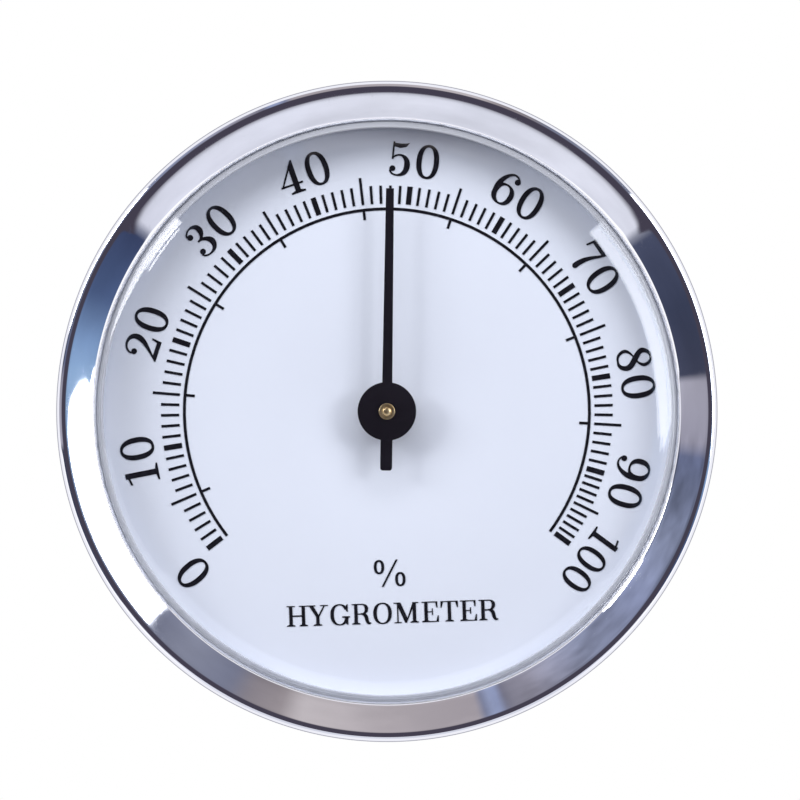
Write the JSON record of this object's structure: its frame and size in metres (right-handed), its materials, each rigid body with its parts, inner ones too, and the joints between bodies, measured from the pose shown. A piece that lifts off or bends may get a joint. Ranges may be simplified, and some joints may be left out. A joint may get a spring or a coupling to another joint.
{
  "type": "dial hygrometer",
  "caption": "Round dial hygrometer insert: a chrome bezel and domed lens over a white percentage scale, with a black pointer turned by a humidity-sensing coil.",
  "frame": {"origin": "middle of the bezel's back face, where it rests on the front of the panel", "axes": "+Y along the pointer's shaft towards the back, so the dial faces -Y; +Z towards the top of the dial"},
  "size_m": [0.072, 0.0215, 0.072],
  "materials": {
    "bezel_plate": "mirror-bright plate",
    "lens_clear": "clear and polished",
    "gasket_rubber": "satin",
    "case_plastic": "fine moulded texture",
    "grip_rubber": "matt",
    "dial_paint": "satin white enamel",
    "ink": "screen-printed ink",
    "spacer_plastic": "satin",
    "pointer_paint": "satin black paint",
    "movement_brass": "turned",
    "shaft_steel": "ground",
    "bracket_steel": "zinc plated",
    "strip_metal": "rolled strip",
    "film": "translucent film",
    "spring_steel": "dark spring steel"
  },
  "bodies": {
    "case": {"bezel": "bezel_plate", "lens": "lens_clear", "lens_gasket": "gasket_rubber", "rear_case": "case_plastic", "grip_ring": "grip_rubber", "dial_plate": "dial_paint", "scale_print": "ink", "numeral_print": "ink", "legend_print": "ink", "spacer_ring": "spacer_plastic", "front_bearing": "movement_brass", "movement_bracket": "bracket_steel", "dial_feet": "movement_brass", "feet_nuts": "movement_brass"},
    "calibrator": {"calibration_hub": "movement_brass", "calibration_arm": "movement_brass", "coil_stud": "movement_brass", "coil_stud_pin": "shaft_steel", "friction_washer": "spring_steel", "retaining_clip": "spring_steel", "sensing_strip": "strip_metal", "humidity_film": "film"},
    "pointer": {"pointer": "pointer_paint", "pointer_bush": "movement_brass", "arbor": "movement_brass", "arbor_collar": "movement_brass", "coil_collet": "movement_brass"}
  },
  "joints": [
    {"name": "calibration", "type": "hinge", "parent": "case", "child": "calibrator", "pos_m": [0, 0, 0], "axis": [0, 1, 0], "range_deg": [-25, 25]},
    {"name": "pointer_turn", "type": "hinge", "parent": "calibrator", "child": "pointer", "pos_m": [0, 0, 0], "axis": [0, 1, 0], "range_deg": [-128.2, 125.1], "stiffness_Nm_per_rad": 0.0004, "deforming": ["sensing_strip", "humidity_film"]}
  ]
}
